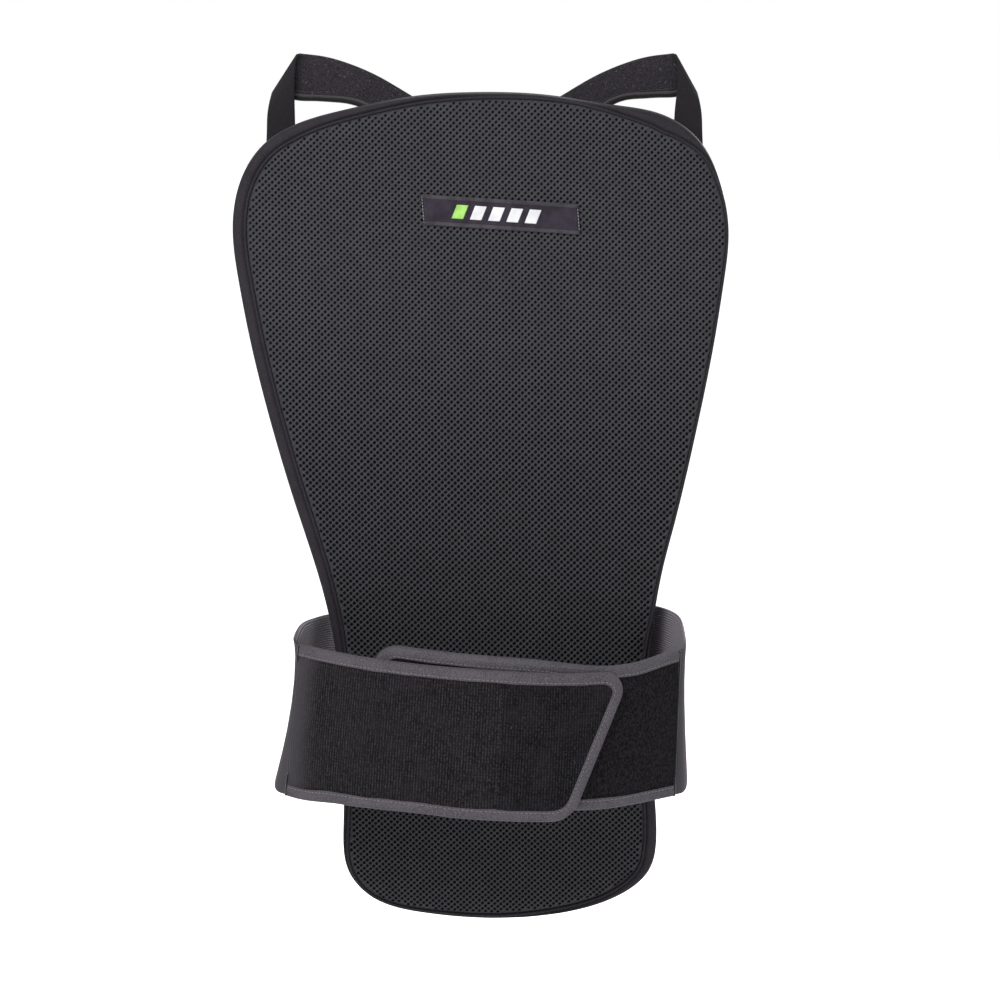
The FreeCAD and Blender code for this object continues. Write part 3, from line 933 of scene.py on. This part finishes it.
def patch(name, corners, radius, near, high, material, slot, quilt=None, count=160, rows=10,
          soft=2.0, side=1):
    """A flat or cushioned piece sewn on the rear, near mm behind the mesh face and high mm thick."""
    edge = closed_path([(side * x, z) for x, z in corners], radius, count)
    low, top = edge[:, 1].min(), edge[:, 1].max()
    middle = edge.mean(axis=0)
    spread = (top - low) * 0.28
    slope = 0.0
    if len(corners) >= 4:
        upper = edge[edge[:, 1] > middle[1]].mean(axis=0)
        lower = edge[edge[:, 1] < middle[1]].mean(axis=0)
        slope = (upper[0] - lower[0]) / (upper[1] - lower[1])
    height = np.clip(edge[:, 1], middle[1] - spread, middle[1] + spread)
    target = np.stack([middle[0] + slope * (height - middle[1]), height], axis=1)
    rings = [seated(edge, near, 0)]
    shares = np.concatenate([[0.0, 0.004, 0.015], np.linspace(0.04, 1, rows)])
    lifts = np.concatenate([[0.45, 0.8, 0.95], np.ones(rows)])
    for share, lift in zip(shares, lifts):
        xz = edge + (target - edge) * share
        inset = np.linalg.norm(xz - edge, axis=1)
        rise = high * lift * (0.62 + 0.38 * (1 - np.exp(-inset / soft)))
        if quilt:
            rise = rise - quilt(xz[:, 0], xz[:, 1]) * np.clip(inset / 4, 0, 1)
        rings.append(seated(xz, near + rise, 0))
    points = np.array(rings)
    faces = quads(len(rings), count) + [list(range(count))]
    return merged(piece(name, points, faces, material, points[..., [0, 2]]), 0.03)


def edge_stitches(name, corners, radius, depth, inset, side=1, pitch=3.2, material=DARK_THREAD):
    path = closed_path([(side * x, z) for x, z in corners], radius, 200)
    turn = inward(path)
    from_middle = path - path.mean(axis=0)
    if ((from_middle + turn) ** 2).sum() > (from_middle**2).sum():
        turn = -turn
    line = seated(looped(path + turn * inset), depth, 0)
    return stitches(name, line, BACKWARD, material, pitch, 2.1, 0.55)


def rear_patches():
    pad = [(-34, -62), (34, -62), (46, 60), (40, 196), (-40, 196), (-46, 60)]

    def chevrons(x, z):
        groove = 0.0
        for level in (-28, 10, 48, 86, 124, 162):
            groove = groove + hump(z - 0.22 * np.abs(x), level, 1.7)
        for line in (-17, 17):
            groove = groove + 0.8 * hump(x, line, 1.5)
        return 1.3 * np.minimum(groove, 1.0)

    spine_pad = patch("spine_pad_quilted", pad, 16, REAR + 0.05, 4.8, COVER, "cover_fabric",
                      chevrons, 420, 60, 5.0)
    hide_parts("spine_pad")
    seam = edge_stitches("spine_pad_stitches", pad, 16, REAR + 3.7, 3.0)
    for made in (spine_pad, seam):
        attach(made, "panel")
    loop = [(-112, 42), (-87, 42), (-73, -64), (-97, -64)]
    anchor = [(-43, 201), (-4, 226), (-13, 236), (-52, 213)]
    tab = [(-105, 24), (-90.5, 24), (-79.5, -56), (-94, -56)]
    for side, name in SIDES:
        tape = patch(name + "_strap_loop_tape", loop, 4, REAR + 0.05, 1.0, PLAIN, "loop_tape",
                     side=side)
        tape_seam = edge_stitches(name + "_loop_tape_stitches", loop, 4, REAR + 1.0, 2.2, side)
        sewn = patch(name + "_strap_anchor_bar", anchor, 3, REAR + 5.0, 1.2, COVER,
                     "cover_fabric", side=side)
        sewn_seam = edge_stitches(name + "_anchor_stitches", anchor, 3, REAR + 6.15, 1.9, side,
                                  2.4, PALE_THREAD)
        for made in (tape, tape_seam, sewn, sewn_seam):
            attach(made, "panel")
        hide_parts(name + "_strap_loop_patch")
        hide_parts(name + "_strap_anchor_patch")
        hook = patch(name + "_strap_hook_tape", tab, 3, REAR + 1.05, 0.65, HOOK, "hook_tape",
                     side=side)
        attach(hook, name + "_strap_tail")
        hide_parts(name + "_strap_hook_tab")


# ---- the straps ----


def strap_rest(z, inner, outer, lift):
    return (
        (inner, float(spine(z)) + REAR + lift, z), (outer, float(spine(z)) + REAR + lift, z)
    )


def pad_stations():
    lift = REAR + PAD_THICK / 2 + 0.6
    low, up = float(spine(203)) + lift, float(spine(230)) + lift
    return [
        ((-8, low, 224), (-40, low, 204)), ((-27, up, 235), (-57, up, 224)),
        ((-45, 41, 244.2), (-73, 40, 237.2)), ((-63, 44, 254.8), (-84, 43, 240.8)),
        ((-83, 46, 263.6), (-95, 46, 241.8)), ((-100, 48, 268.2), (-106, 48, 242.3)),
        ((-109, 48.5, 269.3), (-115, 49, 242.6)), ((-113.5, 46.5, 269.8), (-126, 50, 245.8)),
    ]


def tail_stations():
    stations = [
        ((-111.6, 46.4, 268.9), (-126.2, 50, 246.6)), ((-114.2, 43.4, 269.8), (-129.4, 48, 246.9)),
        ((-116, 41.6, 262), (-131, 46, 244)),
        ((-116.6, 42, 250), (-132, 44, 240.5)),
        ((-116.6, HINGE_Y, HINGE_Z), (-133, HINGE_Y, HINGE_Z)),
        ((-116.4, 42.6, 224), (-133.8, 42.6, 224)), ((-115, 39, 203), (-134, 39, 203)),
    ]
    for z in (170, 130, 90, 50, 10, -25, -58):
        middle = -86.5 - (z + 58) * 0.137
        half = STRAP_WIDTH / 2
        stations.append(strap_rest(z, middle + half, middle - half, 2.6))
    return stations


def mirrored_stations(stations, side, narrow=0.0, raised=0.0):
    """Stations for a side, 1 for the wearer's right and -1 for the left.

    narrow draws the strap's outer edge in, and raised lifts the pad's lower edge.
    """
    placed = []
    for a, b in stations:
        inner = narrow * float(ease(-a[2], -262, -228))
        outside = raised * float(ease(-b[0], 60, 84))
        placed.append((
            (side * (a[0] + inner), a[1], a[2]),
            (side * (b[0] + narrow), b[1], b[2] + outside),
        ))
    return placed


def along_pad(stations, share, lift, count=120):
    """A line on the pad's front face, at a share of the way from its upper edge to its lower one."""
    upper = smooth([s[0] for s in stations], count)
    lower = smooth([s[1] for s in stations], count)
    middle = upper + (lower - upper) * share
    forward = unit(np.gradient(middle, axis=0))
    out = unit(np.cross(lower - upper, forward))
    out = out * -np.sign(out[:, 1:2])
    return middle + out * lift, out


def straps():
    for side, name in SIDES:
        stations = mirrored_stations(pad_stations(), side, 0.0, 0.0 if side > 0 else 2.1)
        pad = band(name + "_shoulder_pad", stations, PAD_THICK, PAD, 110, 0.12)
        front = stations[1:]
        line, out = along_pad(front, 0.84, PAD_THICK / 2 + 0.1)
        overlock = stitches(name + "_pad_overlock", line, out, DARK_THREAD, 1.7, 2.3, 0.6)
        cord_line, _ = along_pad(front, 0.925, PAD_THICK / 2 - 0.1)
        cord = tube(name + "_pad_edge_cord", cord_line, 0.85, EDGE)
        # Painted shadow: a dark tube along the pad's lower edge stands for the shadow beneath its
        # corded edge.
        painted_shadow_line, _ = along_pad(front, 0.99, 0.6)
        under = tube(name + "_pad_edge_painted_shadow", painted_shadow_line, 1.7, DARK_EDGE_AND_SHADOW)
        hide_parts(name + "_strap_pad", name + "_strap_pad_sewn_end")
        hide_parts(name + "_strap_edge_trim")
        for made in (pad, overlock, cord, under):
            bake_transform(made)
        tail = band(name + "_strap_web",
                    mirrored_stations(tail_stations(), side, 0.0 if side > 0 else 2.4),
                    1.6, WEAVE, 150)
        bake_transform(tail)
        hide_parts(name + "_strap_fold", name + "_strap_elastic")


# ---- the belt ----


def rolled(points, roll):
    x, y, z = points[..., 0], points[..., 1], points[..., 2] - BELT_MIDDLE
    cos, sin = math.cos(roll), math.sin(roll)
    return np.stack([x * cos + z * sin, y, z * cos - x * sin + BELT_MIDDLE], axis=-1)


class Wing:
    """One side of the belt, on its cone. side is 1 when its free end is towards +X."""

    def __init__(self, name, side, radius, drop, reach, seam, roll, corners, tape):
        self.name, self.side, self.radius, self.reach = name, side, radius, reach
        self.corners, self.tape = corners, tape
        self.top = BELT_TOP - drop
        self.bottom = self.top - BELT_HEIGHT
        self.seam, self.roll = math.radians(seam), math.radians(roll)

    def at(self, x, z, out):
        """The point seen from the front at x, z, out mm in front of the wing's middle layer."""
        middle = self.radius - WING_THICK / 2
        wide = middle + (BELT_TOP - z) * FLARE
        angle = np.arcsin(np.clip(x / wide, -1, 1))
        share = (z - self.bottom) / BELT_HEIGHT
        top, low = self.slack(x)
        z = z + share * top + (1 - share) * low
        wide = wide + out
        across, ahead = self.side * wide * np.sin(angle), ARC_CENTRE_Y - wide * np.cos(angle)
        place = np.stack([across, ahead, z + 0 * wide], axis=-1)
        return rolled(place, self.roll), angle * self.radius

    def slack(self, x):
        """How far the wing's top and bottom edges stray from straight, as worn cloth does."""
        if self.side > 0:
            low = 2.1 * hump(x, -40, 34) + 0.8 * ease(x, -20, 10) - 2.6 * ease(-x, 84, 112)
            return -1.2 * ease(x, -10, 50), low
        top = -1.7 - 4.2 * hump(-x, 68, 30) + 3.5 * ease(-x, 84, 114)
        return top, -1.8 + 3.2 * ease(-x, 66, 118)

    def seam_x(self, z):
        wide = self.radius - WING_THICK / 2 + (BELT_TOP - z) * FLARE
        return -wide * math.sin(self.seam)

    def tip_x(self, z):
        return self.reach - TIP_SLANT * (self.top - z) / BELT_HEIGHT

    def edge(self, inset, count=320):
        """The wing's edge: from the seam along the bottom, up the slanted end, back along the top."""
        low, high = self.bottom, self.top
        corners = [
            (self.seam_x(low), low), (self.tip_x(low), low), (self.tip_x(high), high),
            (self.seam_x(high), high),
        ]
        path = resample(rounded(corners, self.corners, closed=False, steps=14), count)
        return path - inward(path, closed=False) * inset

    def body(self):
        """The padded wing: a face and a lining that meet under the binding."""
        count, rows = 90, 26
        path = self.edge(3.5)
        half = len(path) // 2
        lower = resample(path[: half + 1], count)
        upper = resample(path[half:][::-1], count)
        share = np.linspace(0, 1, rows)
        grid = lower[:, None] + (upper - lower)[:, None] * share[None, :, None]
        x, z = grid[..., 0], grid[..., 1]
        border = np.minimum(np.minimum(z - self.bottom, self.top - z), (self.tip_x(z) - x) * 0.93)
        puff = 1 - np.exp(-np.maximum(border - self.tape, 0) / 7)
        place = np.stack([x, 0 * x, z], axis=-1).reshape(-1, 3)
        ripple = wander(place, 0.45, 55, 11 + self.side).reshape(x.shape) * puff
        front = WING_THICK / 2 - 0.3 + 0.9 * puff + ripple
        if self.side > 0:
            front = front - 0.7 * hump(x, FOLD_LINE, 1.3)
            front = front + 0.35 / (1 + np.exp(-(x - FOLD_LINE) / 1.5))
        near, along = self.at(x, z, front)
        far, _ = self.at(x, z, -(WING_THICK / 2 - 0.3) - 0.25 * puff)
        section = np.concatenate([near, far[:, ::-1]], axis=1)
        flat = np.stack([along, z], axis=-1)
        cloth = np.concatenate([flat, flat[:, ::-1]], axis=1)
        faces = quads(count, 2 * rows) + [list(range(2 * rows))]
        face = LOOP if self.side > 0 else PLAIN
        made = piece(self.name + "_body", section, faces, face, cloth)
        made.data.materials.append(LINING)
        merged(made, 0.005)
        turn = rolled(np.array([0.0, ARC_CENTRE_Y, BELT_MIDDLE]), self.roll) * MM
        for polygon in made.data.polygons:
            away = polygon.center - Vector(turn)
            if polygon.normal.dot(away) < 0:
                polygon.material_index = 1
        return made

    def binding(self):
        """Folded tape round the wing's edge."""
        half = WING_THICK / 2
        section = [
            (self.tape, half - 0.3), (self.tape + 0.15, half + 0.3), (self.tape - 0.4, half + 0.7),
            (self.tape - STITCH_INSET, half + 0.4), (self.tape - 2.1, half + 0.75), (2.1, half + 0.75),
            (1.1, half + 0.35), (0.3, half - 0.5),
            (-0.55, 0.0), (0.3, -half + 0.5), (1.8, -half - 0.4), (4.0, -half - 0.6),
            (8.6, -half - 0.6), (9.1, -half - 0.3), (9.0, -half + 0.2),
        ]
        rings, cloth = [], []
        base = self.edge(0.0)
        place = np.stack([base[:, 0], 0 * base[:, 0], base[:, 1]], axis=1)
        sway = wander(place, 0.35, 40, 21 + self.side)
        run = lengths(base)
        across = 0.0
        for inset, out in section:
            path = self.edge(inset) + np.stack([0 * sway, sway * min(1, inset / 9)], axis=1)
            ring, _ = self.at(path[:, 0], path[:, 1], out + 0.25 * sway)
            rings.append(ring)
            cloth.append(np.stack([run, across + 0 * run], axis=1))
            across += 2
        points = np.array(rings).transpose(1, 0, 2)
        flat = np.array(cloth).transpose(1, 0, 2)
        faces = sleeve(len(points), len(section))
        made = piece(self.name + "_tape", points, faces, TAPE, flat)
        return merged(made, 0.005)

    def seam_row(self, inset, out, pitch, length, material):
        x, z = self.edge(inset).T
        line, _ = self.at(x, z, out)
        lifted, _ = self.at(x, z, out + 1.0)
        return stitches(self.name + "_binding_stitches", line, lifted - line, material, pitch,
                        length, 0.5)


def wing_parts(wing):
    """A wing's padded body, its binding and the binding's stitches."""
    body, tape = wing.body(), wing.binding()
    row = wing.seam_row(wing.tape - STITCH_INSET, WING_THICK / 2 + 0.55, 2.7, 1.8, PALE_THREAD)
    return [body, tape, row]


def belt():
    outer = Wing("outer_wing", 1, 167.0, 9.4, 84.5, 43.3, 3.0, (0, 17.0, 12.0, 0), 6.6)
    inner = Wing("inner_wing", -1, 161.2, 0.8, 75.0, 45.0, 4.4, (0, 12.0, 15.0, 0), 7.0)
    half = WING_THICK / 2
    made = wing_parts(outer)
    z = np.linspace(outer.bottom + 9.5, outer.top - 9.5, 40)
    line, _ = outer.at(FOLD_LINE + 0 * z, z, half + 0.1)
    made.append(stitches("outer_wing_fold_stitches", line, (0.05, -1.0, 0), DARK_EDGE_AND_SHADOW,
                         2.6, 1.9, 0.4))
    for one in made:
        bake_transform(one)
    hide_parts(*["outer_wing_" + k for k in ("shell", "foam", "lining")],
                *["outer_tip_" + k for k in ("shell", "foam", "lining")])
    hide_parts("outer_wing_binding", "outer_tip_binding")

    rows, columns, start, margin = 12, 20, 14.0, 14.0
    z = np.linspace(outer.bottom + 13, outer.top - 13, rows)[:, None]
    x = start + (outer.tip_x(z) - margin - start) * np.linspace(0, 1, columns)
    sides = [outer.at(x, z + 0 * x, -half - under)[0] for under in (0.05, 0.85)]
    section = np.concatenate([sides[0], sides[1][:, ::-1]], axis=1)
    faces = sleeve(rows, 2 * columns)
    hook = piece("outer_tip_hook_tape", section, faces, HOOK)
    merged(hook, 0.005)
    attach(hook, "outer_tip")
    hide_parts("outer_tip_hook_patch")

    made = wing_parts(inner)
    for one in made:
        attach(one, "inner_wing")
    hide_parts(*["inner_wing_" + k for k in ("shell", "foam", "lining")])
    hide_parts("inner_wing_binding")
    return outer, inner


def web_stations(wing, side):
    """A side elastic's edges: from behind the panel, out round the hip, to its wing's seam."""
    z = np.array([wing.top, wing.bottom])
    seam, _ = wing.at(np.array([wing.seam_x(v) for v in z]), z, np.array([0.3, 0.3]))
    back = np.array([side * math.cos(wing.seam), math.sin(wing.seam), 0])
    rear = REAR + 1.3 + ELASTIC_THICK / 2
    turn = ((96, -0.5), (104, -9), (112, 4)) if side < 0 else ((99, -0.5), (108.5, -9), (117, 3))
    edges = []
    for level, hip, end, lift in (
        (rear_top(side) + (1.8 if side < 0 else 0.6), HIP_TOP[side], seam[0], 0.0),
        (rear_top(side) - BELT_HEIGHT, HIP_BOTTOM[side], seam[1], 1.5),
    ):
        behind = float(spine(level)) + rear
        out = hip - HIP_TOP[side]
        drop = end[2] - level
        edges.append([
            (side * 42, behind, level), (side * 66, behind, level), (side * 91, behind, level),
            (side * turn[0][0], behind + turn[0][1], level),
            (side * (turn[1][0] + out * 0.4), behind + turn[1][1], level),
            (side * (turn[2][0] + out), turn[2][1], level + drop * 0.1 + lift),
            (side * hip, -15, level + drop * 0.5 + lift),
            ((end[0] + side * hip) / 2 + side * 2, end[1] + 7, end[2]),
            (end[0] + side * 2.4, end[1] + 2.8, end[2]),
            tuple(end - back * 1.2),
        ])
    return list(zip(*edges)), seam


def rear_top(side):
    return BELT_REAR_TOP + side * BELT_REAR_TILT


def side_elastics(outer, inner):
    for wing, side, name, body in (
        (outer, -1, "right", "outer_wing"), (inner, 1, "left", "inner_wing"),
    ):
        stations, seam = web_stations(wing, side)
        depth = 7.5 if side < 0 else 2.5

        def hollow(along, down):
            """The web pulls in below its top edge, most round the hip."""
            at_hip = np.sin(math.pi * np.clip(2 * along - 1, 0, 1))
            return -side * depth * at_hip * np.sin(math.pi * down**0.6)

        web = band(name + "_side_web", stations, ELASTIC_THICK, ELASTIC, 160,
                   bow=hollow)
        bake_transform(web)
        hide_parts(name + "_side_elastic")
        low, high = rear_top(side) - BELT_HEIGHT, rear_top(side)
        corners = [
            (side * 36, low - 3), (side * 66, low - 3), (side * 66, high + 3), (side * 36, high + 3),
        ]
        if side < 0:
            corners = corners[::-1]
        cover = patch(name + "_belt_anchor", corners, 3, REAR + 3.1, 1.2, COVER, "cover_fabric")
        row = edge_stitches(name + "_belt_anchor_stitches", corners, 3, REAR + 4.3, 2.5, 1, 3.2,
                            PALE_THREAD)
        for made in (cover, row):
            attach(made, "panel")
        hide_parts(name + "_belt_anchor_patch")
        seam_marks(wing, body, full=side > 0)


def seam_marks(wing, body, full):
    """The dark sewn line where a wing meets its elastic, at its ends or over its whole height."""
    spans = [(0.3, 13.5), (BELT_HEIGHT - 9.5, BELT_HEIGHT - 0.3)]
    if full:
        spans = [(0.3, BELT_HEIGHT - 0.3)]
    made = []
    for low, high in spans:
        z = np.linspace(wing.bottom + low, wing.bottom + high, 24)
        x = np.array([wing.seam_x(v) for v in z]) + 0.9
        line, _ = wing.at(x, z, WING_THICK / 2 + 0.55)
        made.append(tube("seam_mark", line, 0.55, DARK_EDGE_AND_SHADOW))
    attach(joined(wing.name + "_seam_mark", made), body)


# ---- light and camera ----


def studio():
    world = bpy.data.worlds.new("studio")
    bpy.context.scene.world = world
    world.use_nodes = True
    white = 1, 1, 1, 1
    set_inputs(world.node_tree.nodes["Background"], {"Color": white, "Strength": 1.0})
    mesh = bpy.data.meshes.new("floor")
    side, front, back, level = 6, -6, 9, -0.5
    corners = [(-side, front), (side, front), (side, back), (-side, back)]
    mesh.from_pydata([(x, y, level) for x, y in corners], [], [(0, 1, 2, 3)])
    floor = linked("floor", mesh)
    paper = bpy.data.materials.new("pale_floor")
    paper.use_nodes = True
    set_inputs(paper.node_tree.nodes["Principled BSDF"], {
        "Base Color": (0.9, 0.9, 0.9, 1), "Roughness": 1.0, "Emission Color": white,
        "Emission Strength": 0.3,
    })
    floor.data.materials.append(paper)
    for name, place, size, power in (
        ("key", (-0.5, -1.0, 0.85), 0.8, 26.0),
        ("fill", (1.0, -1.4, -0.2), 1.4, 11.0),
        ("rear", (0.9, 1.3, 0.8), 1.2, 26.0),
    ):
        light = bpy.data.lights.new(name, "AREA")
        light.size = size
        light.energy = power
        lamp = linked(name, light)
        lamp.location = place
        lamp.rotation_euler = (-Vector(place)).to_track_quat("-Z", "Y").to_euler()


def camera():
    elevation = math.radians(10.0)
    distance = 2100.0
    per_pixel = 0.608             # millimetres in the object's middle plane
    up = np.array([0, math.sin(elevation), math.cos(elevation)])
    forward = np.array([0, math.cos(elevation), -math.sin(elevation)])
    aim = np.array([13.5 * per_pixel, 0, 0]) + up * 4 * per_pixel
    made = linked("camera", bpy.data.cameras.new("camera"))
    made.location = (aim - forward * distance) * MM
    made.rotation_euler = (math.pi / 2 - elevation, 0, 0)
    made.data.sensor_width = 36
    made.data.lens = 36 * distance / (per_pixel * 1000)
    made.data.clip_end = 60
    bpy.context.scene.camera = made
    bpy.context.scene.view_settings.view_transform = "Standard"


camera()
studio()
panel_cover()
rear_seam()
mesh_face()
mesh_backing()
piping()
label()
rear_patches()
straps()
side_elastics(*belt())
for node, material in (
    ("impact_core_perforated", IMPACT_FOAM), ("impact_core_solid", IMPACT_FOAM),
):
    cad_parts[node].data.materials.clear()
    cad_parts[node].data.materials.append(material)
